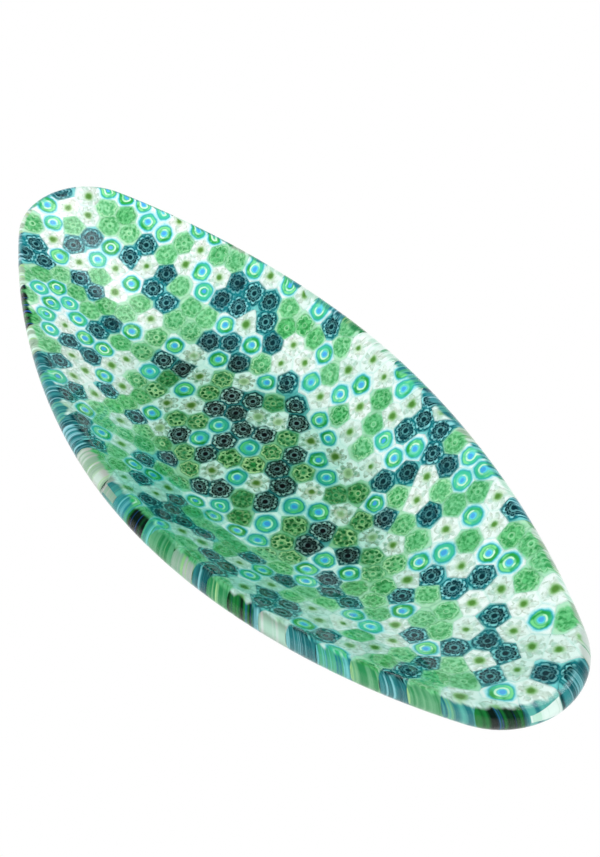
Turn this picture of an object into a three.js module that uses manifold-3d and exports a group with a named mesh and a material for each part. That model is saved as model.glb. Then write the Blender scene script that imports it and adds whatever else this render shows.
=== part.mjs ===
// Millefiori art glass bowl: a long pointed oval dish, fused flat from slices of patterned
// glass cane (murrine) in clear glass, then slumped so that its rim lifts off a flat foot.
// Millimetres, +Z up. The origin is the middle of the foot, on the table. X runs tip to tip.
import * as THREE from "three";
import { mergeVertices } from "three/addons/utils/BufferGeometryUtils.js";
import Module from "manifold-3d";

const wasm = await Module();
wasm.setup();

// Outline, seen from above: two long side arcs joined by two rounded tips.
const LENGTH = 260;
const WIDTH = 106;
const TIP_RADIUS = 26;

// Section: one even thickness of glass, with a fully rounded rim.
const GLASS = 7.5;
const SIDE_RIM = 22.5; // height of the rim's centreline at the middle of each long side
const TIP_RISE = 10.5; // how much higher it is at the tips
const FLOOR_HALF_LENGTH = 44; // flat oval floor, and the foot under it
const FLOOR_HALF_WIDTH = 21;
const WALL_SOFTNESS = 0.32; // 0 would give a crease at the edge of the floor

// Murrine: upright slices of cane in the floor, standing on a layer of clear glass.
const BASE_GLASS = 1.5;
const GAP = 0.3;
const MURRINA_RADIUS = 4.7;
const MURRINA_SIDES = 16;
const PITCH = 7.8; // usual spacing of neighbours

// How finely the shell is divided.
const AROUND = 72;
const WALL_STATIONS = 7;
const RIM_STEPS = 6;

// The floor's murrine by design: x and y of each slice's centre on the flat blank.
const FLOOR_MURRINE = {
  teal_daisy: [
    [-26.5, 8], [-20, 12], [-19, 5], [-24.5, 0.5], [-12, 3], [-5.5, 7], [-11, -5.5], [-10, -13], [-22.5, -15],
    [-10.5, 23.5], [-3.5, 18], [7, 9.5], [9, 1.5], [15.5, -1], [17.5, -9], [37, -1.5], [5.5, -17], [0.5, -22.5],
  ],
  turquoise_ring: [
    [-38.5, -3], [-18, -2.5], [-16.5, -11], [-3.5, -0.5], [4.5, -10.5], [8.5, 23],
    [13.5, 14.5], [21, 11.5], [31, 1.5], [24.5, -3], [25, -14], [11.5, -21.5],
  ],
  green_flower: [
    [-35, 10], [-32.5, 3], [-28, -12.5], [-23.5, -7.5], [-15.5, 17], [-14, -18], [-7.5, -21], [-4, -8],
    [0.5, 11.5], [2, 4.5], [3, -3.5], [12.5, -14.5], [15.5, 7.5], [18, -19.5], [28, 10], [30.5, -7],
  ],
  clear_star: [
    [-41, 4.5], [-36.5, -11], [-31, -5], [-30, 15.5], [-13.5, 9.5], [-7.5, 13.5], [-3, -15],
    [5.5, 17], [9.5, -7], [16, 20], [22.5, 5.5], [23.5, 19], [35.5, 6.5],
  ],
};

const LOOKS = {
  clear_glass: { color: "#e4efea", roughness: 0.06, opacity: 0.35 },
  teal_daisy: { color: "#17615f", roughness: 0.08, opacity: 0.95 },
  turquoise_ring: { color: "#35b5a5", roughness: 0.08, opacity: 0.9 },
  green_flower: { color: "#5fae52", roughness: 0.08, opacity: 0.8 },
  clear_star: { color: "#cfdcc4", roughness: 0.08, opacity: 0.55 },
};

const HALF_GLASS = GLASS / 2;
const BLANK_RADIUS = 100; // the round blank, before it is drawn out into the oval
const BLANK_FLOOR = 30;

// Distance from the middle to the outline in the direction phi, with the outline moved in.
function outlineRadius(phi, inset) {
  const tip = TIP_RADIUS - inset;
  const tipCentre = LENGTH / 2 - TIP_RADIUS;
  const halfWidth = WIDTH / 2 - inset;
  const sideCentre = (tipCentre ** 2 - (halfWidth - tip) ** 2) / (2 * (halfWidth - tip));
  const cos = Math.abs(Math.cos(phi));
  const sin = Math.abs(Math.sin(phi));
  const centres = Math.hypot(tipCentre, sideCentre);
  const join = Math.atan2((tip * sideCentre) / centres, tipCentre * (1 + tip / centres));
  if (Math.atan2(sin, cos) < join) return tipCentre * cos + Math.sqrt(tip ** 2 - (tipCentre * sin) ** 2);
  return Math.sqrt((halfWidth + sideCentre) ** 2 - (sideCentre * cos) ** 2) - sideCentre * sin;
}

function floorRadius(phi) {
  return 1 / Math.hypot(Math.cos(phi) / FLOOR_HALF_LENGTH, Math.sin(phi) / FLOOR_HALF_WIDTH);
}

// The sheet's middle layer in the bowl, at a distance from the middle in the direction phi:
// its height, its tilt, and how far away the rim's centreline is.
function middleLayer(radius, phi) {
  const rim = outlineRadius(phi, HALF_GLASS);
  const floor = floorRadius(phi);
  const rise = SIDE_RIM - HALF_GLASS + TIP_RISE * ((2 * rim * Math.cos(phi)) / LENGTH) ** 2;
  const climb = Math.max(0, (Math.min(radius, rim) - floor) / (rim - floor));
  const softened = Math.hypot(climb, WALL_SOFTNESS);
  const full = Math.hypot(1, WALL_SOFTNESS) - WALL_SOFTNESS;
  const height = HALF_GLASS + (rise * (softened - WALL_SOFTNESS)) / full;
  return { rim, height, tilt: Math.atan2((rise * climb) / softened / full, rim - floor) };
}

// Takes a point of the flat fused sheet, h above its middle layer, to its place in the bowl.
// What lies past the rim's centreline keeps its distance from it, so the edge stays round.
function slump(x, y, h) {
  const radius = Math.hypot(x, y);
  const phi = Math.atan2(y, x);
  const { rim, height, tilt } = middleLayer(radius, phi);
  const past = Math.max(0, radius - rim);
  const out = Math.min(radius, rim) - h * Math.sin(tilt) + past * Math.cos(tilt);
  return [out * Math.cos(phi), out * Math.sin(phi), height + h * Math.cos(tilt) + past * Math.sin(tilt)];
}

// Height of the inner (side 1) or outer (side -1) face of the glass over a point of the plan.
function faceHeight({ x, y }, side) {
  const { height, tilt } = middleLayer(Math.hypot(x, y), Math.atan2(y, x));
  return height + (side * HALF_GLASS) / Math.cos(tilt);
}

// Draws the round blank out into the oval, its floor circle becoming the floor oval.
function drawOut(x, y) {
  const radius = Math.hypot(x, y);
  const turn = Math.atan2(y, x);
  const phi = Math.atan2(WIDTH * Math.sin(turn), LENGTH * Math.cos(turn));
  const rim = outlineRadius(phi, HALF_GLASS);
  const floor = floorRadius(phi);
  let drawn = rim + radius - BLANK_RADIUS;
  if (radius < BLANK_FLOOR) drawn = (floor * radius) / BLANK_FLOOR;
  else if (radius < BLANK_RADIUS) {
    drawn = floor + ((rim - floor) * (radius - BLANK_FLOOR)) / (BLANK_RADIUS - BLANK_FLOOR);
  }
  return [drawn * Math.cos(phi), drawn * Math.sin(phi)];
}

function moveVertices(geometry, move) {
  const position = geometry.attributes.position;
  for (let i = 0; i < position.count; i += 1) {
    position.setXYZ(i, ...move(position.getX(i), position.getY(i), position.getZ(i)));
  }
  return geometry;
}

function toSolid(geometry) {
  geometry.deleteAttribute("normal");
  geometry.deleteAttribute("uv");
  const merged = mergeVertices(geometry);
  const corners = merged.index.array;
  const triangles = [];
  for (let i = 0; i < corners.length; i += 3) {
    const [a, b, c] = corners.subarray(i, i + 3);
    if (a !== b && b !== c && c !== a) triangles.push(a, b, c);
  }
  return new wasm.Manifold(new wasm.Mesh({
    numProp: 3,
    vertProperties: new Float32Array(merged.attributes.position.array),
    triVerts: new Uint32Array(triangles),
  }));
}

function toMesh(name, solid, look) {
  const { vertProperties, triVerts } = solid.getMesh();
  const geometry = new THREE.BufferGeometry();
  geometry.setAttribute("position", new THREE.BufferAttribute(vertProperties, 3));
  geometry.setIndex(new THREE.BufferAttribute(triVerts, 1));
  geometry.computeVertexNormals();
  const material = new THREE.MeshStandardMaterial({ ...look, metalness: 0, transparent: true, flatShading: true });
  const mesh = new THREE.Mesh(geometry, material);
  mesh.name = name;
  return mesh;
}

// The whole sheet of glass with its rounded edge, turned as a round blank and then slumped.
function makeShell() {
  const station = (k) => BLANK_FLOOR + ((BLANK_RADIUS - BLANK_FLOOR) * k) / WALL_STATIONS;
  const under = [new THREE.Vector2(0, -HALF_GLASS)];
  for (let k = 0; k <= WALL_STATIONS; k += 1) under.push(new THREE.Vector2(station(k), -HALF_GLASS));
  const rim = [];
  for (let k = 1; k < RIM_STEPS; k += 1) {
    const angle = (Math.PI * k) / RIM_STEPS - Math.PI / 2;
    rim.push(new THREE.Vector2(BLANK_RADIUS + HALF_GLASS * Math.cos(angle), HALF_GLASS * Math.sin(angle)));
  }
  const over = under.map((point) => new THREE.Vector2(point.x, HALF_GLASS)).reverse();
  const blank = new THREE.LatheGeometry([...under, ...rim, ...over], AROUND).rotateX(Math.PI / 2);
  return toSolid(moveVertices(blank, (x, y, h) => slump(...drawOut(x, y), h)));
}

// Keeps the side of a polygon that is nearer to a than to b, less a margin at the middle.
function clipTowards(polygon, a, b, margin) {
  const away = new THREE.Vector2().subVectors(b, a);
  const limit = away.length() / 2 - margin;
  away.normalize();
  const depth = (point) => (point.x - a.x) * away.x + (point.y - a.y) * away.y - limit;
  const kept = [];
  polygon.forEach((point, i) => {
    const next = polygon[(i + 1) % polygon.length];
    const here = depth(point);
    const there = depth(next);
    if (here <= 0) kept.push(point);
    if (here * there < 0) kept.push(point.clone().lerp(next, here / (here - there)));
  });
  return kept;
}

// The plan of a slice of cane: round until its neighbours press it into a rounded polygon.
function pressedOutline(centre, neighbours, radius, margin) {
  const round = Array.from({ length: MURRINA_SIDES }, (_, i) => {
    const angle = (2 * Math.PI * (i + 0.5)) / MURRINA_SIDES;
    return new THREE.Vector2(radius * Math.cos(angle), radius * Math.sin(angle)).add(centre);
  });
  return neighbours.reduce((outline, other) => clipTowards(outline, centre, other, margin), round);
}

// An upright prism from a level bottom to the inner face of the bowl, or a lift above it.
function makePrism(outline, bottom, lift) {
  const prism = new THREE.ExtrudeGeometry(new THREE.Shape(outline), { depth: 1, bevelEnabled: false });
  return toSolid(moveVertices(prism, (x, y, z) => [x, y, z ? faceHeight({ x, y }, 1) + lift : bottom]));
}

const sites = Object.entries(FLOOR_MURRINE).flatMap(([design, places]) =>
  places.map(([x, y], i) => ({
    name: `murrina_${design}_${String(i + 1).padStart(2, "0")}`,
    design,
    centre: new THREE.Vector2(x, y),
  })),
);

// The first course of slices on the wall stays in the clear body, and bounds the floor's field.
const wallCourse = [];
for (let row = -7; row <= 7; row += 1) {
  for (let column = -9; column <= 9; column += 1) {
    const place = new THREE.Vector2(PITCH * (column + (row % 2) / 2), PITCH * row * Math.sin(Math.PI / 3));
    const nearest = Math.min(...sites.map((site) => site.centre.distanceTo(place)));
    if (nearest > 0.8 * PITCH && nearest < 2 * PITCH) wallCourse.push(place);
  }
}

const centres = [...sites.map((site) => site.centre), ...wallCourse];
const bowl = new THREE.Group();
let body = makeShell();
for (const { name, design, centre } of sites) {
  const neighbours = centres.filter((other) => other !== centre && other.distanceTo(centre) < 2 * PITCH);
  const outline = pressedOutline(centre, neighbours, MURRINA_RADIUS, GAP / 2);
  const foot = BASE_GLASS + Math.max(...outline.map((point) => faceHeight(point, -1)));
  const slice = makePrism(outline, foot, 0);
  const room = makePrism(pressedOutline(centre, neighbours, 1.2 * MURRINA_RADIUS, -GAP / 2), foot - GAP, 1);
  body = body.subtract(room);
  bowl.add(toMesh(name, slice, LOOKS[design]));
}
bowl.add(toMesh("clear_glass_body", body, LOOKS.clear_glass));

export default bowl;
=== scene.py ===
"""Looks of the millefiori glass bowl: every slice of cane as a piece of its own, in a skin of clear glass.

Lengths are in millimetres until a mesh is made, and then in metres. The bowl is worked out on its flat
blank, where a point has a distance s from the middle, measured along the glass, a direction phi, and a
height h above the middle layer of the sheet. Slumping takes the blank to the bowl.
"""

import bpy
import math
import random
from collections import Counter

import numpy as np
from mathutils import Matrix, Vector


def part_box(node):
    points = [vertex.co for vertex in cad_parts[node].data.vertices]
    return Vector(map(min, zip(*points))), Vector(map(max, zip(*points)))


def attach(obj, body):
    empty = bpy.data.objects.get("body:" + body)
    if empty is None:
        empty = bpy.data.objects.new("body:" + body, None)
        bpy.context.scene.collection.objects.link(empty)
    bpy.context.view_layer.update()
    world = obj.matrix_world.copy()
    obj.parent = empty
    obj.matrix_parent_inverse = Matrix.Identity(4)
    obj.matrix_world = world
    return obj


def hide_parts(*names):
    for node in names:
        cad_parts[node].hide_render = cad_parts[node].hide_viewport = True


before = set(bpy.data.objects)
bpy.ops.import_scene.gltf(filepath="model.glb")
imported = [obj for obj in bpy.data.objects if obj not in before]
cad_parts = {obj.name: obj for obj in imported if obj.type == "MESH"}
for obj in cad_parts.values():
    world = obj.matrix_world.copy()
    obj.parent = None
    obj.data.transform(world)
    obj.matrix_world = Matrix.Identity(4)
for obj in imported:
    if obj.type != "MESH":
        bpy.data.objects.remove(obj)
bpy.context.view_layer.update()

MM = 0.001
TINY = 1e-6

# The sheet of glass, as in the CAD model
LENGTH, WIDTH, TIP_RADIUS = 260.0, 106.0, 26.0
GLASS = 7.5
HALF = GLASS / 2
SIDE_RIM, TIP_RISE = 22.5, 10.5
FLOOR_HALF_LENGTH, FLOOR_HALF_WIDTH = 44.0, 21.0
SOFTNESS = 0.32

# What lies in it
PITCH = 7.8  # usual spacing of the slices
WIDEST = 6.6  # a slice spreads no further than this from its middle
SEAM = 0.006  # half the gap between neighbours
SKIN_INSET = 0.1  # of the skin, inside the CAD model's own surface
CLEAR_OVER, CLEAR_UNDER = 0.3, 0.9  # clear glass over and under the slices
EDGE_LEFT = 0.06  # how far short of the rim's very edge a slice stops
STREAK_FROM = 0.7  # past the rim's centreline by this, the edge of the sheet shows the canes' sides


# --- The bowl's surface ----------------------------------------------------------------------------

def outline_radius(phi, inset):
    """Distance from the middle to the outline, two side arcs and two tip arcs, moved in by inset."""
    tip, tip_centre, half_width = TIP_RADIUS - inset, LENGTH / 2 - TIP_RADIUS, WIDTH / 2 - inset
    side_centre = (tip_centre**2 - (half_width - tip) ** 2) / (2 * (half_width - tip))
    cos, sin = np.abs(np.cos(phi)), np.abs(np.sin(phi))
    centres = math.hypot(tip_centre, side_centre)
    join = math.atan2(tip * side_centre / centres, tip_centre * (1 + tip / centres))
    at_tip = tip_centre * cos + np.sqrt(np.maximum(tip**2 - (tip_centre * sin) ** 2, 0))
    at_side = np.sqrt((half_width + side_centre) ** 2 - (side_centre * cos) ** 2) - side_centre * sin
    return np.where(np.arctan2(sin, cos) < join, at_tip, at_side)


class Section:
    """The bowl's section in each of the directions phi: flat to floor, then a softened wall to rim."""

    NODES, WEIGHTS = np.polynomial.legendre.leggauss(8)

    def __init__(self, phi):
        self.phi = phi
        self.rim = outline_radius(phi, HALF)
        self.floor = 1 / np.hypot(np.cos(phi) / FLOOR_HALF_LENGTH, np.sin(phi) / FLOOR_HALF_WIDTH)
        self.span = self.rim - self.floor
        rise = SIDE_RIM - HALF + TIP_RISE * (2 * self.rim * np.cos(phi) / LENGTH) ** 2
        self.rise = rise / (math.hypot(1, SOFTNESS) - SOFTNESS)

    def slope(self, climb):
        """Steepness of the wall at a share climb of the way out to the rim."""
        return self.rise / self.span * climb / np.hypot(climb, SOFTNESS)

    def arc(self, climb):
        """Length of glass from the floor's edge to that share of the way."""
        total = 0
        for node, weight in zip(self.NODES, self.WEIGHTS):
            total = total + weight * np.hypot(1, self.slope(climb * (node + 1) / 2))
        return total * climb / 2 * self.span

    def length(self):
        """Distance along the glass from the middle to the rim's centreline."""
        return self.floor + self.arc(np.ones_like(self.phi))

    def climb_at(self, s):
        """The share of the way out to the rim at a distance s along the glass."""
        wanted = np.clip(s - self.floor, 0, self.length() - self.floor)
        climb = wanted / self.span
        for _ in range(5):
            step = (self.arc(climb) - wanted) / (self.span * np.hypot(1, self.slope(climb)))
            climb = np.clip(climb - step, 0, 1)
        return climb

    def slumped(self, s, h):
        """Points of the bowl, in mm, for points of the blank."""
        climb = self.climb_at(s)
        tilt = np.arctan(self.slope(climb))
        past = np.maximum(s - self.length(), 0)
        out = np.where(s < self.floor, s, self.floor + self.span * climb)
        out = out - h * np.sin(tilt) + past * np.cos(tilt)
        height = HALF + self.rise * (np.hypot(climb, SOFTNESS) - SOFTNESS)
        height = height + h * np.cos(tilt) + past * np.sin(tilt)
        return np.stack([out * np.cos(self.phi), out * np.sin(self.phi), height], -1)


def half_glass(past, inset):
    """Half the thickness of the sheet, less an inset, at a distance past the rim's centreline."""
    return np.sqrt(np.maximum((HALF - inset) ** 2 - np.maximum(past, 0) ** 2, 0))


def blank_place(places):
    """Where the slices at these x, y of the bowl's inner face were laid on the flat blank."""
    places = np.asarray(places, float)
    out, phi = np.hypot(places[:, 0], places[:, 1]), np.arctan2(places[:, 1], places[:, 0])
    section = Section(phi)
    climb = np.clip((out - section.floor) / section.span, 0, 1)
    for _ in range(12):
        middle = out + HALF * np.sin(np.arctan(section.slope(climb)))  # of the sheet, under the inner face
        climb = np.clip((middle - section.floor) / section.span, 0, 1)
    past = np.maximum(middle - section.rim, 0)
    s = np.where(out < section.floor, out, section.floor + section.arc(climb) + past)
    return np.stack([s * np.cos(phi), s * np.sin(phi)], -1)


# --- The layout of the slices ----------------------------------------------------------------------

DESIGNS = ("teal_daisy", "turquoise_ring", "green_flower", "clear_star")

# Slices listed for the wall: x and y on the inner face, in drifts from the -X tip to the +X tip.
WALL_MURRINE = {
    "teal_daisy": """
        -93.5,17 -93.5,10 -80,17 -79.5,10.5 -72.5,11.5 -106,2 -106,-5.5 -94,-11 -88,-9.5 -109,-18
        -101,-19 -104.5,-22.5 -74,-10 -72,-16.5 -59,33 -51,35 -45,36.5 -41,32.5 -33.5,31 -59,26.5
        -52.5,29 -45.5,20.5 -37.5,18.5 -51,15.5 -54,-2 -46.5,0 -61,-24.5 -66,-28.5 -46.5,-27 -33,-24
        -58,-38.5 -44.5,-37.5 -42,-42 -60.5,-43 -31.5,-45 -25.5,-45.5 -19.5,44.5 -19,25.5 -14.5,-24
        -13.5,-32.5 -4,-39.5 8.5,-32.5 12,-37.5 18.5,-37 22.5,-35 7,-42.5 14,-42 31,42.5 37.5,42.5
        28.5,38 41.5,36.5 48,36 39,29 34.5,23.5 55.5,23.5 45.5,15.5 72.5,9 39,-8.5 49,-1.5 54.5,-14
        65,-15.5 35.5,-27 50,-26 54.5,-33.5 61,-32 57.5,-38 65,-37 33.5,-37.5 40,-37 43,-42 75.5,35
        76.5,-31.5 84.5,17 81,10 97,9.5 102.5,2 98,-5.5 87,-10.5 112,-7.5 122.5,3.5 127,5.5 99,-16
        99,-24 109.5,-25""",
    "turquoise_ring": """
        -100,6 -98,-1.5 -85,5 -116,-7.5 -123,-5.5 -102,-14 -92,24 -99.5,22 -111.5,20.5 -83,33 -98,28
        -117.5,16.5 -76.5,35.5 -84.5,-20.5 -77,-21 -91.5,-21.5 -89.5,-27 -82,-26.5 -79,-31.5 -73,-32.5
        -72,26.5 -66,23 -51.5,22.5 -39,25 -24.5,21 -57,39.5 -42.5,44 -27.5,45 -43.5,14 -57.5,5 -69,-5
        -51.5,-9.5 -35,-17.5 -64,-18.5 -69,-22.5 -52.5,-25 -51.5,-39.5 -35.5,-39 -25,-40 -15,38.5
        -12,30.5 3.5,39 -0.5,33.5 0.5,24.5 24,32 17.5,45 6.5,-27 14,-26.5 22.5,-24.5 -11.5,-37.5
        -6.5,-34 20,-46 31.5,30 35,35 52.5,41 59.5,39.5 56,35 67.5,29 39,17 69.5,17 66,11 28.5,-20
        46.5,-8.5 55,-7 48,-16 51.5,-20.5 43,-28 44.5,-32 76.5,-5 72,-17 78.5,-17 71.5,-34.5 80.5,23
        87.5,23.5 108,15.5 94.5,-12 117.5,-9.5""",
    "green_flower": """
        -113.5,13 -107,17 -107,10 -101,14.5 -84,28 -85.5,20.5 -113,-1 -91,-4 -76.5,2.5 -77,-3.5 -82,-8.5
        -117.5,-14.5 -94.5,-16 -87.5,-14 -80.5,-13 -97.5,-23 -98,-27.5 -74.5,18 -73,34 -65,36.5 -65,18
        -58.5,18.5 -58.5,13 -65.5,10.5 -36.5,39.5 -27.5,39.5 -31,23.5 -63.5,1.5 -60.5,-6.5 -66,-11
        -45.5,-7.5 -44.5,-12 -49.5,-16 -43,-17 -40.5,-22 -39,-28 -27.5,-25 -25.5,-32 -37,-34.5
        -30.5,-36.5 -65.5,-37 -14.5,47 -12,43 -23,39.5 -8.5,35.5 13,39.5 17,33.5 4.5,29.5 20,27
        -24.5,-27 -3.5,-27 -8.5,-28.5 -17,-39.5 -9,-43 20,-31 25,-29 14,-31 45,41.5 63,35 53,30 60,29
        43,22.5 72.5,23 31.5,15 51.5,17 59.5,15.5 41.5,10 43.5,2 61,6 54.5,3.5 61,-0.5 66.5,-2 61,-8.5
        68.5,-7.5 73.5,-11 33.5,-14.5 39.5,-17 36,-21.5 43,-22 56,-22.5 63,-21.5 27.5,-30 31.5,-32
        58,-27 27,-41.5 32.5,-42.5 48,-45.5 77,4.5 82,29.5 89.5,29.5 95,23 93.5,27 113,18 86,3 83.5,-3.5
        90,-3.5 103,-10.5 108,-15.5 92.5,-18.5 104,-18.5 81,-21.5 92.5,-24 104,-23 97,-30.5 -90.5,-31
        -81,-34.5 -70,-38 -14,-50 -9,-50 25,-49""",
    "clear_star": """
        -120,9.5 -114,5 -119.5,0.5 -92.5,2 -84.5,-3 -87.5,13 -77.5,30.5 -78,24 -110,-11 -99,-8 -91.5,30
        -75.5,-26.5 -65.5,29.5 -51,41.5 -36,45 -46,27.5 -27,34 -26,28 -71,3.5 -50,8 -59,-13.5 -56.5,-20
        -48,-21 -28,-19 -61,-31.5 -53.5,-30.5 -45,-32 -52,-35.5 -32,-30.5 -36.5,-48 -6.5,45 1,45.5
        9,44.5 23.5,44 -4,39.5 20.5,38 -19,33 8.5,34.5 -6,29.5 12,28 27,24.5 3.5,-38 -20,-37 0,-32.5
        2,-46 23.5,-40.5 45.5,31 48.5,24.5 64,22.5 69,36 75,30.5 48,8.5 55,10.5 77,16.5 69,2.5 50,-29.5
        37.5,-31.5 65,-25.5 72.5,-23.5 69.5,-28.5 50.5,-38.5 26.5,-36.5 63,-43.5 74.5,-38.5 92,17
        100,16.5 103.5,23.5 104.5,8.5 89,9.5 95,1.5 112,7 117.5,11 115,-1 107,-5.5 122,-3.5 79.5,-10.5
        86.5,-16.5 112,-17 84.5,-23.5 84,-27.5""",
}

# The nearest slice to each of these places at the edge of the sheet has an almost black side.
BLACK_SIDES = ((13, -50), (58, -43), (124, -13), (-91, -32), (-79, -37))

# How firmly a slice keeps its place while those that are too close are pushed apart
HELD_BY_CAD, HELD_BY_HAND, FREE = 1.0, 0.06, 0.0
PUSH = 0.4  # share of an overlap by which each of two slices moves away in a round
SPREAD_MARGIN = 0.15 * PITCH  # a pushed slice's middle stays this far inside the edge of the sheet

# How what is left of the sheet is filled
FILL_WEIGHTS = {"teal_daisy": 0.24, "turquoise_ring": 0.2, "green_flower": 0.34, "clear_star": 0.22}
FILL_SPACINGS = (0.95, 0.88, 0.8, 0.72)  # in pitches, first where there is most room
FILL_TRIES = 5000  # for each spacing
FILL_MARGIN = 0.12 * PITCH
LIKE_NEIGHBOUR = 0.3  # share that take the design of the nearest slice
FILL_FIELD = ((0.55, LENGTH), (0.62, WIDTH))  # places are tried this far each way from the middle


class Slice:
    """One slice of cane: its design, its place on the blank, and the CAD node it stands for, if any."""

    def __init__(self, design, place, held, node=None):
        self.design, self.place, self.node, self.held = design, np.array(place, float), node, held
        self.black_side = False


def floor_slices():
    """One for each of the CAD model's own slices, where they are."""
    found = []
    for node in sorted(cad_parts):
        design = next((d for d in DESIGNS if node.startswith(f"murrina_{d}_")), None)
        if design:
            low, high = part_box(node)
            middle = (low + high) / 2 / MM
            found.append(Slice(design, (middle.x, middle.y), HELD_BY_CAD, node))
    return found


def wall_slices():
    """One for each place of the lists."""
    found = []
    for design, text in WALL_MURRINE.items():
        places = [[float(number) for number in pair.split(",")] for pair in text.split()]
        found += [Slice(design, place, HELD_BY_HAND) for place in blank_place(places)]
    return found


def edge_length(place):
    """Distance along the glass to the outer edge of the sheet, towards this place of the blank."""
    phi = np.arctan2(place[..., 1], place[..., 0])
    return Section(phi).length() + HALF - CLEAR_OVER - EDGE_LEFT


def spread(slices, rounds, nearest):
    """Pushes slices that are too close apart. Those listed for the wall are drawn back to their places."""
    places = np.array([one.place for one in slices])
    first, held = places.copy(), np.array([one.held for one in slices])
    far = 1e3 * np.eye(len(places))  # keeps a slice from pushing itself
    for _ in range(rounds):
        apart = places[:, None] - places[None]
        distance = np.hypot(apart[..., 0], apart[..., 1]) + far
        push = np.maximum(nearest - distance, 0) / distance
        move = PUSH * (apart * push[..., None]).sum(1) + held[:, None] * (first - places)
        places = places + move * (held < 1)[:, None]
        length = np.hypot(places[:, 0], places[:, 1])
        limit = edge_length(places) - SPREAD_MARGIN
        places *= np.where((length > limit) & (held < 1), limit / length, 1)[:, None]
    for one, place in zip(slices, places):
        one.place = place


def fill_gaps(slices, chance):
    """Adds slices where the sheet still has room for one, often of a neighbour's design."""
    places = [one.place for one in slices]
    for spacing in FILL_SPACINGS:
        for _ in range(FILL_TRIES):
            place = np.array([chance.uniform(-share, share) * size for share, size in FILL_FIELD])
            if math.hypot(*place) > edge_length(place) - FILL_MARGIN:
                continue
            distance = np.hypot(*(np.array(places) - place).T)
            if distance.min() < spacing * PITCH:
                continue
            design = chance.choices(list(FILL_WEIGHTS), list(FILL_WEIGHTS.values()))[0]
            if chance.random() < LIKE_NEIGHBOUR:
                design = slices[int(distance.argmin())].design
            places.append(place)
            slices.append(Slice(design, place, FREE))


def lay_out():
    """All the slices: those of the CAD model, those listed for the wall, and those that fill the rest."""
    chance = random.Random(7)
    slices = floor_slices() + wall_slices()
    spread(slices, rounds=40, nearest=0.86 * PITCH)
    fill_gaps(slices, chance)
    spread(slices, rounds=30, nearest=0.92 * PITCH)
    for place in blank_place(BLACK_SIDES):
        min(slices, key=lambda one: math.hypot(*(one.place - place))).black_side = True
    return slices


# --- Meshes ----------------------------------------------------------------------------------------

AROUND = 40  # points round a slice
RINGS = (0.22, 0.45, 0.66, 0.84, 1.0)  # from a slice's middle to its border
EDGE_RINGS = (0.15, 0.3, 0.44, 0.57, 0.69, 0.8, 0.9, 1.0)  # the same for one at the edge of the sheet
LEVELS = 3  # bands up a slice's side
CORNER_STEPS = 36 * AROUND  # directions tried for a slice's corners
SHARP = math.radians(40)

PATTERN_RADIUS = 3.9  # what counts as 1 in a slice's own pattern
PATTERN_SIZES = (0.94, 1.06)
CONFORM = 0.2  # how much of the pattern takes the shape that its neighbours press it to

MERGE_FROM = 0.84  # past this share of the way out, a slice's colour runs into its neighbour's
MERGE_MOST = 0.5  # share of the neighbour's colour where the two meet
BORDERS = {  # what each design's colour is at its border
    "teal_daisy": "#14868e",
    "turquoise_ring": "#96dcdc",
    "green_flower": "#60ae7c",
    "clear_star": "#b8e6da",
}

LOW_WALL = 0.4  # up to this share of the wall, the floor's looks give way to the wall's
LIT_SIDE = math.radians(105)  # direction of the wall that has no shade
# painted shade on the floor of the bowl, where it sits on the table and less light comes through
FLOOR_SHADE = 0.27
OWN_SHADE = 0.3  # how much the slices differ in shade
TIP_LIGHT = 0.25  # how much lighter the -X tip is
FLANK_LIGHT = 0.7  # share of the shade that the edge of the sheet is without

SKIN_AROUND, SKIN_FLOOR_RINGS, SKIN_WALL_RINGS, SKIN_RIM_STEPS = 240, 8, 26, 16


def make_mesh(name, points, faces, material, layers=()):
    """A smooth object from points in mm, with layers of one or three numbers for each point."""
    mesh = bpy.data.meshes.new(name)
    mesh.from_pydata((np.asarray(points) * MM).tolist(), [], faces)
    for key, values in layers:
        kind, field = ("FLOAT", "value") if values.ndim == 1 else ("FLOAT_VECTOR", "vector")
        layer = mesh.attributes.new(key, kind, "POINT")
        layer.data.foreach_set(field, values.astype(np.float32).ravel())
    mesh.polygons.foreach_set("use_smooth", [True] * len(mesh.polygons))
    mesh.set_sharp_from_angle(angle=SHARP)
    mesh.materials.append(material)
    mesh.update()
    piece = bpy.data.objects.new(name, mesh)
    bpy.context.scene.collection.objects.link(piece)
    return piece


def closed_stack(rings, around):
    """Faces of a closed stack of rings of points: a fan, then bands between rings, then the last fan."""
    step = [(k, (k + 1) % around) for k in range(around)]
    faces = [(0, 1 + k, 1 + n) for k, n in step]
    for ring in range(rings - 1):
        start = 1 + ring * around
        faces += [(start + k, start + around + k, start + around + n, start + n) for k, n in step]
    last, bottom = 1 + (rings - 1) * around, 1 + rings * around
    faces += [(bottom, last + n, last + k) for k, n in step]
    return faces


def unit(angles):
    """Vectors of length 1 in these directions."""
    return np.stack([np.cos(angles), np.sin(angles)], -1)


def room(centre, others, angles):
    """How far a slice spreads in each direction before it meets a neighbour, and which one it meets."""
    apart = others - centre
    facing = np.cos(angles[:, None] - np.arctan2(apart[:, 1], apart[:, 0]))
    ahead = 1e-3  # a direction runs towards a neighbour when the cosine between them is over this
    meets = (np.hypot(apart[:, 0], apart[:, 1]) / 2 - SEAM) / np.maximum(facing, ahead)
    meets = np.where(facing > ahead, meets, np.inf)
    return np.minimum(meets.min(1), WIDEST), meets.argmin(1)


def directions(centre, others):
    """Evenly spread directions, with the nearest ones moved to where the slice has a corner."""
    angles = 2 * np.pi * (np.arange(AROUND) + 0.5) / AROUND
    fine = 2 * np.pi * np.arange(CORNER_STEPS) / CORNER_STEPS
    free, _ = room(centre, others, fine)
    corners = (free > np.roll(free, 1)) & (free >= np.roll(free, -1))
    for corner in fine[corners]:
        angles[int(corner / (2 * np.pi) * AROUND)] = corner
    return angles


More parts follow.
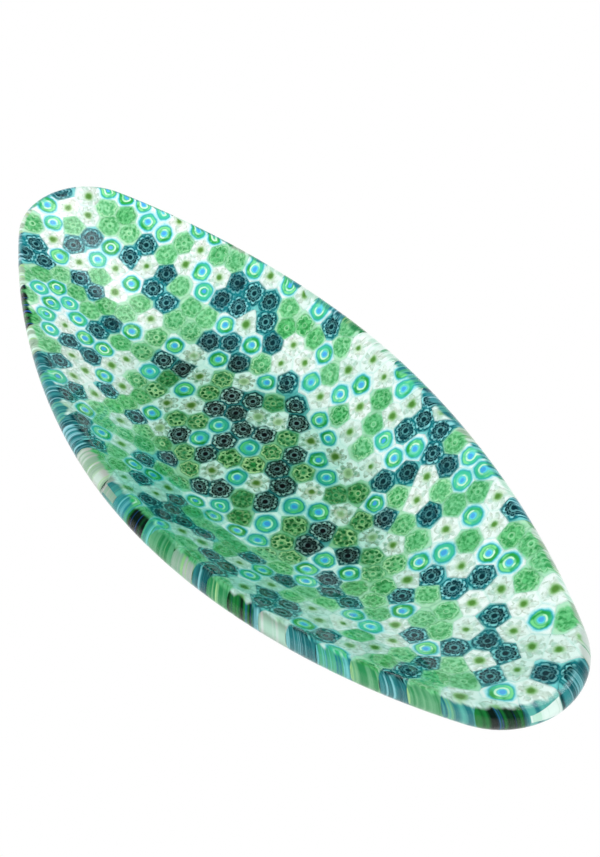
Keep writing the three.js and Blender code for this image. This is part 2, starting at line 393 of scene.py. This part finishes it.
def reach(centre, others, angles):
    """How far a slice spreads to its neighbours, how far once the rim cuts it, and which one it meets."""
    free, met = room(centre, others, angles)
    towards = unit(angles)
    low, high = np.zeros_like(free), free.copy()
    for _ in range(14):
        middle = (low + high) / 2
        place = centre + middle[:, None] * towards
        fits = np.hypot(place[:, 0], place[:, 1]) < edge_length(place)
        low, high = np.where(fits, middle, low), np.where(fits, high, middle)
    whole = centre + free[:, None] * towards
    inside = np.hypot(whole[:, 0], whole[:, 1]) < edge_length(whole)
    return free, np.where(inside, free, low), met


def slice_plan(centre, angles, cut, shares):
    """A slice's points on the blank: out over its top, down its side, and in again under it."""
    middle = centre[None]
    top = [centre + share * cut[:, None] * unit(angles) for share in shares]
    side = [top[-1]] * (LEVELS - 1)
    return np.concatenate([middle] + top + side + top[::-1] + [middle])


def slice_heights(past, rings):
    """The heights that go with them, past being the distance over the rim's centreline."""
    over = half_glass(past, CLEAR_OVER)
    under = -np.minimum(over, HALF - CLEAR_UNDER)
    cap = 1 + rings * AROUND
    side = np.repeat(np.arange(1, LEVELS) / LEVELS, AROUND)
    return over + (under - over) * np.concatenate([np.zeros(cap), side, np.ones(cap)])


def cane_layer(one, plan, section, s, border, chance):
    """Where each point is in the cane's own pattern, and a number for the slice.

    The pattern is round in the middle and takes the shape of the border towards it. Over the edge of the
    sheet it stays what it is near the rim, so that it runs down the edge in streaks.
    """
    drawn = np.minimum(s, section.length() + STREAK_FROM) / np.maximum(s, TINY)
    local = plan * drawn[:, None] - one.place
    distance, turn = np.hypot(local[:, 0], local[:, 1]), np.arctan2(local[:, 1], local[:, 0])
    edge = np.interp(turn, *border, period=2 * np.pi)
    size = PATTERN_RADIUS * chance.uniform(*PATTERN_SIZES)
    radius = distance * ((1 - CONFORM) / size + CONFORM / edge)
    turn = turn + chance.uniform(0, 2 * math.pi)
    seed = chance.random() + one.black_side  # past 1, the side of the cane is almost black
    return np.stack([radius * np.cos(turn), radius * np.sin(turn), np.full(len(s), seed)], -1)


def shade(section, lift, flank, own):
    """How much green-tinted painted shade a point is in: the -Y wall most, the edge's flank less, the -X
    tip painted lighter.
    """
    away = np.clip(-0.1 - 0.9 * np.cos(section.phi - LIT_SIDE), 0, 1)
    on_floor = FLOOR_SHADE * np.clip(1 - lift / LOW_WALL, 0, 1)
    on_wall = away * np.clip(lift / LOW_WALL, 0, 1)
    lit = TIP_LIGHT * np.clip(-np.cos(section.phi), 0, 1) ** 4 * lift
    own_part = OWN_SHADE * (own - 0.36)
    return np.maximum(on_floor, on_wall) * (1 - FLANK_LIGHT * flank) + own_part - lit


def tone_layer(section, s, own):
    """How far each point is up the wall and over the edge of the sheet, and how much painted shade it is
    in.
    """
    lift = section.climb_at(s)
    flank = np.clip((s - section.length()) / (HALF - CLEAR_OVER), 0, 1)
    return np.stack([lift, flank, shade(section, lift, flank, own)], -1)


def merge_layers(neighbours, met, alone, shares):
    """The neighbour's colour at each point, and its share: the two glasses run into each other."""
    border = np.array([linear(BORDERS[other.design])[:3] for other in neighbours])[met]
    middle = border.mean(0)[None]
    out = [max(share - MERGE_FROM, 0) / (1 - MERGE_FROM) for share in shares]
    rings = out + [1] * (LEVELS - 1) + out[::-1]
    beyond = np.concatenate([middle] + [border] * len(rings) + [middle])
    merge = np.outer(rings, np.where(alone, 0, MERGE_MOST)).ravel()
    return beyond, np.pad(merge, 1)


def slice_piece(one, neighbours, name, material, chance):
    """A closed slice of cane, from the clear glass above it to the clear glass below it."""
    others = np.array([other.place for other in neighbours])
    angles = directions(one.place, others)
    free, cut, met = reach(one.place, others, angles)
    at_edge = cut < free - TINY
    shares = EDGE_RINGS if at_edge.any() else RINGS
    plan = slice_plan(one.place, angles, cut, shares)
    s, phi = np.hypot(plan[:, 0], plan[:, 1]), np.arctan2(plan[:, 1], plan[:, 0])
    section = Section(phi)
    points = section.slumped(s, slice_heights(s - section.length(), len(shares)))
    faces = closed_stack(2 * len(shares) + LEVELS - 1, AROUND)
    cane = cane_layer(one, plan, section, s, (angles, free), chance)
    tone = tone_layer(section, s, chance.random())
    beyond, merge = merge_layers(neighbours, met, at_edge | (free > WIDEST - TINY), shares)
    layers = (("cane", cane), ("tone", tone), ("beyond", beyond), ("merge", merge))
    return make_mesh(name, points, faces, material, layers)


def skin_piece(name, material):
    """The clear glass itself: the whole outside of the bowl, as one smooth closed surface."""
    phi = 2 * np.pi * np.arange(SKIN_AROUND) / SKIN_AROUND
    phi = np.arctan2(WIDTH * np.sin(phi), LENGTH * np.cos(phi))  # closer together round the tips
    section, middle = Section(phi), Section(np.zeros(1))
    length = section.length()
    half = HALF - SKIN_INSET
    face = [section.floor * k / SKIN_FLOOR_RINGS for k in range(1, SKIN_FLOOR_RINGS)]
    wall = length - section.floor
    face += [section.floor + wall * k / SKIN_WALL_RINGS for k in range(SKIN_WALL_RINGS + 1)]
    rows = [(s, half) for s in face]
    for k in range(1, SKIN_RIM_STEPS):
        angle = math.pi * k / SKIN_RIM_STEPS
        rows.append((length + half * math.sin(angle), half * math.cos(angle)))
    rows += [(s, -half) for s in reversed(face)]
    top, bottom = (middle.slumped(np.zeros(1), h) for h in (half, -half))
    points = np.concatenate([top] + [section.slumped(s, h) for s, h in rows] + [bottom])
    return make_mesh(name, points, closed_stack(len(rows), SKIN_AROUND), material)


# --- Materials -------------------------------------------------------------------------------------

def linear(code):
    """A linear colour from a hex code."""
    parts = [int(code[i : i + 2], 16) / 255 for i in (1, 3, 5)]
    return [c / 12.92 if c <= 0.04045 else ((c + 0.055) / 1.055) ** 2.4 for c in parts] + [1.0]


SHADE = "#56c4b0"  # what the painted shade does to white: it darkens and tints towards this
GLASS_IOR = 1.45
CANE_ROUGHNESS = 0.3
CLEAR_ROUGHNESS = 0.03
RIPPLES_PER_METRE = 130.0  # of the clear glass
RIPPLE_DEPTH = 0.12


class Graph:
    """The nodes of a new material or world, written as expressions. Colours are hex codes or sockets."""

    LINE_CORE = 0.35  # share of a soft line's half width over which it has its full strength

    def __init__(self, owner):
        owner.use_nodes = True
        self.owner, self.tree = owner, owner.node_tree
        self.tree.nodes.clear()

    def node(self, kind, **settings):
        made = self.tree.nodes.new("ShaderNode" + kind)
        for key, value in settings.items():
            setattr(made, key, value)
        return made

    def put(self, value, socket):
        if isinstance(value, bpy.types.NodeSocket):
            self.tree.links.new(value, socket)
        else:
            socket.default_value = linear(value) if isinstance(value, str) else value

    def math(self, operation, *values):
        made = self.node("Math", operation=operation)
        for value, socket in zip(values, made.inputs):
            self.put(value, socket)
        return made.outputs[0]

    def times(self, *values):
        product = values[0]
        for value in values[1:]:
            product = self.math("MULTIPLY", product, value)
        return product

    def plus(self, a, b):
        return self.math("ADD", a, b)

    def minus(self, a, b):
        return self.math("SUBTRACT", a, b)

    def over(self, value, limit):
        """1 where value is over the limit, and 0 elsewhere."""
        return self.math("GREATER_THAN", value, limit)

    def fade(self, value, start, end, low=1.0, high=0.0):
        """low before start, high after end, and smooth between them."""
        made = self.node("MapRange", interpolation_type="SMOOTHSTEP")
        keys = ("Value", "From Min", "From Max", "To Min", "To Max")
        for given, key in zip((value, start, end, low, high), keys):
            self.put(given, made.inputs[key])
        return made.outputs[0]

    def line(self, value, place, width):
        """A soft line where value is near place."""
        away = self.math("ABSOLUTE", self.minus(value, place))
        return self.fade(away, width * self.LINE_CORE, width)

    def mix(self, share, a, b, **settings):
        made = self.node("Mix", data_type="RGBA", **settings)
        for value, key in ((share, "Factor"), (a, "A"), (b, "B")):
            self.put(value, made.inputs[key])
        return made.outputs["Result"]

    def number_mix(self, share, a, b):
        made = self.node("Mix", data_type="FLOAT")
        for value, socket in zip((share, a, b), (made.inputs[0], made.inputs[2], made.inputs[3])):
            self.put(value, socket)
        return made.outputs[0]

    def dot(self, vector, direction):
        made = self.node("VectorMath", operation="DOT_PRODUCT")
        self.put(vector, made.inputs[0])
        made.inputs[1].default_value = direction
        return made.outputs["Value"]

    def split(self, vector):
        made = self.node("SeparateXYZ")
        self.put(vector, made.inputs[0])
        return made.outputs

    def attribute(self, name, output="Vector"):
        return self.node("Attribute", attribute_name=name).outputs[output]

    def noise(self, vector, scale, detail=2.0):
        made = self.node("TexNoise")
        self.put(vector, made.inputs["Vector"])
        made.inputs["Scale"].default_value = scale
        made.inputs["Detail"].default_value = detail
        return made.outputs["Fac"]


class CaneGraph(Graph):
    """What every cane's pattern starts from: radius and angle, the slice's seed, and where it lies."""

    def __init__(self, name):
        super().__init__(bpy.data.materials.new(name))
        u, v, self.seed = self.split(self.attribute("cane"))
        self.lift, self.flank, self.shade = self.split(self.attribute("tone"))
        joined = self.node("CombineXYZ")
        layer = self.times(self.seed, 60.0)  # of the noise, for each slice to have its own
        for value, socket in zip((u, v, layer), joined.inputs):
            self.put(value, socket)
        self.place = joined.outputs[0]
        squares = self.plus(self.times(u, u), self.times(v, v))
        bend = self.times(self.minus(self.noise(self.place, 1.7), 0.5), 0.4)
        self.r = self.plus(self.math("SQRT", squares), self.times(bend, squares))
        twist = self.times(self.minus(self.noise(self.place, 1.1), 0.5), 1.2)
        self.angle = self.plus(self.math("ARCTAN2", v, u), twist)
        self.height = self.fade(self.lift, 0.0, LOW_WALL, 0.0, 1.0)
        self.beyond = self.attribute("beyond")
        self.merge = self.times(self.attribute("merge", "Fac"), self.patches(2.4, 0.35, 0.65, 0.4, 1.1))

    def patches(self, fineness, start, end, low=0.0, high=1.0, detail=2.0):
        """Soft patches from low to high, which run down the side of the cane as streaks."""
        return self.fade(self.noise(self.place, fineness, detail), start, end, low, high)

    def wave(self, count):
        """1 in the middle of each of so many petals, and 0 between petals."""
        return self.math("ABSOLUTE", self.math("COSINE", self.times(self.angle, self.times(count, 0.5))))

    def lobes(self, wave, least, most, power):
        """The radius of a lobed outline."""
        return self.plus(self.times(self.math("POWER", wave, power), most - least), least)

    def again(self, times):
        """Another number from 0 to 1 for each slice."""
        return self.math("FRACT", self.times(self.seed, times))

    def pick(self, fewest, spread):
        """A whole number from fewest, one for each slice."""
        return self.plus(self.math("FLOOR", self.times(self.again(1.0), spread)), fewest)

    def shaded_floor_lit_wall(self, low, high):
        """Painted light: a darker colour on the floor, in painted shade, and a lighter one on the wall."""
        return self.mix(self.height, low, high)

    def draw(self, colour, place, width, line, strength=1.0):
        """A soft line round the cane where its radius is place."""
        share = self.line(self.minus(self.r, place), 0.0, width)
        return self.mix(self.times(share, strength), colour, line)

    def inside(self, colour, place, soft, fill):
        """fill within the radius place, with a soft border."""
        start, end = self.minus(place, soft / 2), self.plus(place, soft / 2)
        return self.mix(self.fade(self.r, start, end), colour, fill)

    def finish(self, colour, side):
        """The cane's colour, or on the edge of the sheet that of its side, darkened and tinted by painted
        shade.
        """
        colour = self.mix(self.merge, colour, self.beyond)
        black = self.mix(self.patches(1.8, 0.42, 0.62), "#041a14", "#1f7a3a")
        black = self.mix(self.patches(3.4, 0.6, 0.68), black, "#2a5aa8")
        side = self.mix(self.over(self.seed, 1.0), side, black)
        start = self.math("MULTIPLY_ADD", self.noise(self.place, 1.3), 1.1, -0.25)
        end = self.plus(start, 0.35)
        colour = self.mix(self.fade(self.flank, start, end, 0.0, 1.0), colour, side)
        # painted shade: the colour is darkened and tinted towards SHADE by the shade worked out for each
        # point
        colour = self.mix(self.shade, colour, SHADE, blend_type="MULTIPLY", clamp_factor=False)
        shader = self.node("BsdfPrincipled")
        shader.inputs["Roughness"].default_value = CANE_ROUGHNESS
        shader.inputs["IOR"].default_value = GLASS_IOR
        shader.inputs["Specular IOR Level"].default_value = 0.0
        self.put(colour, shader.inputs["Base Color"])
        self.put(shader.outputs[0], self.node("OutputMaterial").inputs["Surface"])
        return self.owner


def teal_daisy_glass():
    """Dark teal, with pale scalloped petal lines round a pale ring and a near-black core."""
    g = CaneGraph("teal_daisy_glass")
    wave = g.wave(g.pick(8, 4))
    petals = g.lobes(wave, 0.6, 0.82, 0.6)
    blotch = g.patches(1.5, 0.35, 0.65)
    outer = g.mix(blotch, g.shaded_floor_lit_wall("#022624", "#07505a"), g.shaded_floor_lit_wall("#033836", "#107a82"))
    inner = g.mix(blotch, g.shaded_floor_lit_wall("#000406", "#02282f"), g.shaded_floor_lit_wall("#01201e", "#044650"))
    colour = g.shaded_floor_lit_wall("#4f9e98", "#74d0d2")
    colour = g.inside(colour, 1.09, 0.2, outer)
    colour = g.inside(colour, petals, 0.1, inner)

    # The drawing: dashes between the petals, their outline twice, short spokes, and a ring round the core
    lines = g.shaded_floor_lit_wall("#a4d0c6", "#8adade")
    faded = g.fade(g.again(37.0), 0.1, 0.5, 0.55, 1.0)
    broken = g.times(g.patches(2.6, 0.34, 0.52, 0.15, 1.0), faded)
    dashes = g.times(g.fade(wave, 0.2, 0.5, 0.6, 0.0), broken)
    colour = g.draw(colour, 0.94, 0.09, g.shaded_floor_lit_wall("#5fa096", "#52b0b4"), dashes)
    strength = g.times(g.lobes(wave, 0.1, 1.0, 0.8), broken)
    colour = g.draw(colour, petals, 0.125, lines, strength)
    colour = g.draw(colour, g.lobes(wave, 0.38, 0.52, 0.8), 0.075, lines, g.times(strength, 0.25))
    spokes = g.times(g.fade(g.r, 0.34, 0.4, 0.0, 1.0), g.fade(g.r, 0.5, 0.66), broken)
    colour = g.mix(g.times(g.fade(wave, 0.1, 0.42, 0.35, 0.0), spokes), colour, lines)
    colour = g.draw(colour, 0.29, 0.11, g.shaded_floor_lit_wall("#86acaa", "#74c4c8"), g.times(broken, 0.6))
    colour = g.inside(colour, 0.19, 0.1, g.shaded_floor_lit_wall("#03070b", "#053038"))

    side = g.mix(g.patches(1.8, 0.34, 0.64), "#1a5a64", "#3c9096")
    side = g.mix(g.patches(3.8, 0.52, 0.7), side, "#96d2de")
    return g.finish(colour, side)


def turquoise_ring_glass():
    """Rings of glass round a blue core: a white halo, turquoise, green, and a thin pale line."""
    g = CaneGraph("turquoise_ring_glass")
    tint = g.plus(g.noise(g.place, 0.8), g.times(g.again(5.0), 0.4))
    green = g.fade(tint, 0.55, 0.85, 0.0, 1.0)
    band = g.mix(green, g.shaded_floor_lit_wall("#3bb292", "#4acca2"), g.shaded_floor_lit_wall("#1f8a3a", "#2ea64c"))
    inner = g.mix(green, g.shaded_floor_lit_wall("#43bfa4", "#66dcc0"), g.shaded_floor_lit_wall("#4fb874", "#62d08a"))
    one_side = g.patches(0.9, 0.48, 0.62, 0.0, 0.9)
    glint = g.patches(1.2, 0.42, 0.56, 0.1, 1.0)
    green_core = g.fade(g.again(9.0), 0.74, 0.8, 0.0, 1.0)
    core = g.mix(green_core, g.shaded_floor_lit_wall("#48c2dc", "#66d8f2"), "#34c274")
    blue = g.times(g.noise(g.place, 2.0), 0.42)

    # From the outside in
    # painted light: outside the rings the clear glass is painted near-white, for the white light table
    # seen through it
    colour = g.shaded_floor_lit_wall("#daf6ec", "#f8fffe")
    colour = g.inside(colour, 0.98, 0.26, g.shaded_floor_lit_wall("#6cc8c8", "#93e6ee"))
    colour = g.inside(colour, 0.84, 0.14, g.shaded_floor_lit_wall("#1c8e96", "#35b0b8"))
    colour = g.inside(colour, 0.74, 0.14, band)
    colour = g.draw(colour, 0.62, 0.16, g.shaded_floor_lit_wall("#5fce7c", "#84e69a"), one_side)
    colour = g.inside(colour, 0.5, 0.16, inner)
    colour = g.draw(colour, 0.4, 0.11, g.shaded_floor_lit_wall("#aeeec8", "#d2fcdc"), glint)
    colour = g.inside(colour, 0.31, 0.16, core)
    colour = g.inside(colour, blue, 0.14, g.shaded_floor_lit_wall("#3d9ad6", "#52aeee"))

    side = g.mix(g.patches(2.5, 0.4, 0.6), "#2b8490", "#4fae86")
    side = g.mix(g.patches(3.8, 0.5, 0.7), side, "#7ccfd4")
    return g.finish(colour, side)


def green_flower_glass():
    """Leaf green, with a thin pale lobed outline, and a pale ring with a dark centre in each lobe."""
    g = CaneGraph("green_flower_glass")
    count = g.pick(6, 3)
    wave = g.wave(count)
    own = g.again(7.0)
    deep = g.mix(own, g.shaded_floor_lit_wall("#044a1c", "#2a9248"), g.shaded_floor_lit_wall("#126a34", "#48aa66"))
    pale = g.mix(own, g.shaded_floor_lit_wall("#228a40", "#5cc676"), g.shaded_floor_lit_wall("#3c9660", "#86d6a0"))
    body = g.mix(g.patches(3.2, 0.36, 0.62, detail=4.0), deep, pale)
    border = g.mix(g.patches(3.4, 0.4, 0.6), pale, deep)
    petals = g.lobes(wave, 0.62, 0.86, 0.7)
    colour = g.shaded_floor_lit_wall("#88c494", "#b8eac6")
    colour = g.inside(colour, g.lobes(wave, 0.9, 1.0, 0.6), 0.3, border)
    colour = g.inside(colour, petals, 0.14, body)

    # The outline of the lobes, clearer on the floor of the bowl, and in some slices than in others
    lines = g.shaded_floor_lit_wall("#a6d090", "#aee8b8")
    clear = g.fade(g.height, 0.2, 1.0, 1.0, 0.75)
    worn = g.patches(2.2, 0.35, 0.55, 0.2, 1.0)
    outlined = g.times(g.fade(g.again(13.0), 0.35, 0.65, 0.15, 1.0), clear)
    colour = g.draw(colour, petals, 0.11, lines, g.times(outlined, worn))

    # A dark spot with a pale ring in each lobe, dot being the distance from its middle, and a ring between
    sector = g.math("DIVIDE", 2 * math.pi, count)
    folded = g.minus(g.math("FLOORED_MODULO", g.angle, sector), g.times(sector, 0.5))
    along = g.minus(g.times(g.r, g.math("COSINE", folded)), 0.56)
    across = g.times(g.r, g.math("SINE", folded))
    dot = g.math("SQRT", g.plus(g.times(along, along), g.times(across, across)))
    own_dots = g.fade(g.again(29.0), 0.3, 0.6, 0.4, 1.0)
    on_floor = g.fade(g.height, 0.2, 1.0, 1.0, 0.55)
    dotted = g.times(own_dots, g.patches(1.6, 0.35, 0.6, 0.25, 1.0), on_floor)
    colour = g.mix(g.times(g.fade(dot, 0.02, 0.24), dotted), colour, g.shaded_floor_lit_wall("#0c4416", "#1f7c38"))
    colour = g.mix(g.times(g.line(dot, 0.23, 0.1), g.times(dotted, worn, clear)), colour, lines)
    colour = g.draw(colour, 0.22, 0.09, lines, g.times(g.again(17.0), clear))

    side = g.mix(g.patches(1.8, 0.4, 0.6), "#2f8a54", "#6aac80")
    in_shade = g.fade(g.shade, 0.0, 0.3, 0.0, 1.0)
    grey = g.mix(g.patches(1.6, 0.42, 0.55), g.mix(in_shade, "#d4f0e2", "#c2bcb8"), "#98b49c")
    side = g.mix(g.over(g.again(31.0), 0.62), side, grey)
    side = g.mix(g.patches(3.6, 0.55, 0.7), side, "#a2cf8e")
    return g.finish(colour, side)


def clear_star_glass():
    """Almost colourless, with grey-green star lines, a haze inside the star and an olive-green core."""
    g = CaneGraph("clear_star_glass")
    wave = g.wave(g.pick(6, 3))
    star = g.lobes(wave, 0.52, 0.98, 1.2)
    faint = g.fade(g.height, 0.2, 1.0, 1.0, 0.66)
    patch = g.patches(1.1, 0.4, 0.6)
    cloud = g.times(g.patches(1.9, 0.34, 0.6, 0.25, 1.0, detail=3.0), faint)
    haze = g.mix(patch, g.shaded_floor_lit_wall("#649a78", "#94c8b0"), g.shaded_floor_lit_wall("#7c9c80", "#b4c8b4"))
    # painted light: the clear glass is painted near-white, for the white light table seen through it
    colour = g.shaded_floor_lit_wall("#d6f2e8", "#effcf8")
    colour = g.mix(g.times(g.fade(g.minus(g.r, star), -0.3, 0.14), cloud), colour, haze)

    # The star's lines, and a smaller star with its points between the first one's
    lines = g.mix(patch, g.shaded_floor_lit_wall("#6f8a68", "#7fa88a"), g.shaded_floor_lit_wall("#7f8c70", "#98a48c"))
    broken = g.times(g.patches(2.6, 0.4, 0.6, 0.0, 0.9, detail=3.0), faint)
    small_star = g.lobes(g.minus(1.0, wave), 0.42, 0.64, 1.3)
    colour = g.draw(colour, star, 0.16, lines, g.times(broken, 0.8))
    colour = g.draw(colour, small_star, 0.12, lines, g.times(broken, 0.6))
    colour = g.draw(colour, 0.4, 0.16, g.shaded_floor_lit_wall("#ccdcc0", "#d8efd8"), 0.55)

    # The core, of its own size in each slice, and pale in many of those on the floor
    size = g.math("MULTIPLY_ADD", g.again(7.0), 0.16, 0.27)
    core = g.plus(size, g.math("MULTIPLY_ADD", g.noise(g.place, 1.9), 0.3, -0.15))
    light = g.fade(g.plus(g.again(19.0), g.height), 0.4, 0.5)
    green = g.mix(light, g.shaded_floor_lit_wall("#68904a", "#84ba74"), "#9cc490")
    dark = g.mix(light, g.shaded_floor_lit_wall("#44702a", "#558c3c"), "#7ea474")
    colour = g.inside(colour, core, 0.3, green)
    colour = g.inside(colour, g.times(core, 0.62), 0.2, dark)

    in_shade = g.fade(g.shade, 0.0, 0.3, 0.0, 1.0)
    clear_side = g.mix(in_shade, "#e2f5ee", "#beb4b3")
    green_side = g.mix(in_shade, "#bfe6d4", "#94ac9a")
    teal_side = g.mix(g.patches(2.2, 0.4, 0.6), "#2b7880", "#5cb0a6")
    side = g.mix(g.patches(1.6, 0.42, 0.55), clear_side, green_side)
    side = g.mix(g.over(g.plus(g.again(23.0), g.shade), 0.85), side, teal_side)
    side = g.mix(g.patches(3.0, 0.6, 0.7), side, "#74b48e")
    return g.finish(colour, side)


def skin_glass():
    """Polished clear glass. Light from the studio and from the slices passes it straight."""
    g = Graph(bpy.data.materials.new("clear_glass"))
    glass = g.node("BsdfPrincipled")
    glass.inputs["Base Color"].default_value = linear("#f8fdfb")
    glass.inputs["Roughness"].default_value = CLEAR_ROUGHNESS
    glass.inputs["IOR"].default_value = GLASS_IOR
    glass.inputs["Transmission Weight"].default_value = 1.0
    bump = g.node("Bump")
    bump.inputs["Strength"].default_value = 1.0
    bump.inputs["Distance"].default_value = RIPPLE_DEPTH * MM
    ripples = g.noise(g.node("TexCoord").outputs["Object"], RIPPLES_PER_METRE, 1.0)
    g.put(ripples, bump.inputs["Height"])
    g.put(bump.outputs[0], glass.inputs["Normal"])
    surface = glass.outputs[0]
    rays = g.node("LightPath")
    for kind in ("Is Diffuse Ray", "Is Shadow Ray"):
        straight = g.node("MixShader")
        g.put(rays.outputs[kind], straight.inputs[0])
        g.put(surface, straight.inputs[1])
        g.put(g.node("BsdfTransparent").outputs[0], straight.inputs[2])
        surface = straight.outputs[0]
    g.put(surface, g.node("OutputMaterial").inputs["Surface"])
    return g.owner


# --- The camera, the studio and the table ----------------------------------------------------------

CAMERA_TARGET = (-6.6, 21.9, 0.0)
CAMERA_AZIMUTH, CAMERA_ELEVATION = math.radians(53.8), math.radians(46.5)
CAMERA_DISTANCE = 375.2
CAMERA_LENS = 47.03

WHITE = (1, 1, 1, 1)
LIGHT = 1.12
LIGHT_SIDE = (0.1, -0.25, 0.0)  # the studio is brighter this way, by this much
PANEL = (0.18, 0.4, 0.9)  # direction of a soft panel overhead, which only the gloss shows
PANEL_EDGE = 0.9  # the cosine of its half width: it brightens from there to its middle
PANEL_STRENGTH = 4.0
TABLE_HALF, TABLE_BELOW = 3000.0, 0.05


def make_camera():
    target = Vector(CAMERA_TARGET) * MM
    back = Vector((
        math.sin(CAMERA_AZIMUTH) * math.cos(CAMERA_ELEVATION),
        -math.cos(CAMERA_AZIMUTH) * math.cos(CAMERA_ELEVATION),
        math.sin(CAMERA_ELEVATION),
    ))
    data = bpy.data.cameras.new("camera")
    data.lens = CAMERA_LENS
    data.clip_start = 10 * MM
    camera = bpy.data.objects.new("camera", data)
    camera.location = target + back * CAMERA_DISTANCE * MM
    camera.rotation_mode = "QUATERNION"
    camera.rotation_quaternion = (-back).to_track_quat("-Z", "Y")
    bpy.context.scene.collection.objects.link(camera)
    bpy.context.scene.camera = camera


def make_studio():
    """White to the camera. What the gloss shows of it is dark overhead, but for one soft panel."""
    g = Graph(bpy.data.worlds.new("studio"))
    bpy.context.scene.world = g.owner
    rays = g.node("LightPath")
    place = g.node("TexCoord").outputs["Generated"]
    gradient = g.plus(g.dot(place, LIGHT_SIDE), LIGHT)
    panel = g.fade(g.dot(place, PANEL), PANEL_EDGE, PANEL_EDGE + 0.1, 0.0, PANEL_STRENGTH)
    _, _, up = g.split(place)
    low = g.fade(up, 0.1, 0.5, 0.65, 0.08)
    mirrored = g.math("MAXIMUM", panel, low)
    strength = g.number_mix(rays.outputs["Is Glossy Ray"], gradient, mirrored)
    seen = g.math("MAXIMUM", rays.outputs["Is Camera Ray"], rays.outputs["Is Transmission Ray"])
    strength = g.number_mix(seen, strength, 1.0)
    light = g.node("Background")
    light.inputs["Color"].default_value = WHITE
    g.put(strength, light.inputs["Strength"])
    g.put(light.outputs[0], g.node("OutputWorld").inputs["Surface"])
    bpy.context.scene.view_settings.view_transform = "Standard"


def make_table():
    """A white light table."""
    g = Graph(bpy.data.materials.new("light_table"))
    glow = g.node("Emission")
    glow.inputs["Color"].default_value = WHITE
    glow.inputs["Strength"].default_value = 1.0
    g.put(glow.outputs[0], g.node("OutputMaterial").inputs["Surface"])
    turns = ((-1, -1), (1, -1), (1, 1), (-1, 1))
    corners = [(x * TABLE_HALF, y * TABLE_HALF, -TABLE_BELOW) for x, y in turns]
    table = make_mesh("table", corners, [(0, 1, 2, 3)], g.owner)


# --- Putting it together ---------------------------------------------------------------------------

NEAR = 2.3 * PITCH  # a slice's neighbours are those within this distance


def make_slices():
    materials = {
        "teal_daisy": teal_daisy_glass(),
        "turquoise_ring": turquoise_ring_glass(),
        "green_flower": green_flower_glass(),
        "clear_star": clear_star_glass(),
    }
    slices = lay_out()
    places = np.array([one.place for one in slices])
    chance = random.Random(11)
    count = Counter()
    for one in slices:
        near = np.hypot(*(places - one.place).T) < NEAR
        neighbours = [other for other, is_near in zip(slices, near) if is_near and other is not one]
        where = "floor" if one.node else "wall"
        count[one.design, where] += 1
        name = f"{one.design}_{where}_{count[one.design, where]:03d}"
        piece = slice_piece(one, neighbours, name, materials[one.design], chance)
        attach(piece, "root")
        if one.node:
            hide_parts(one.node)


make_camera()
make_studio()
make_table()
make_slices()
skin = skin_piece("clear_glass_skin", skin_glass())
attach(skin, "root")
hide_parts("clear_glass_body")
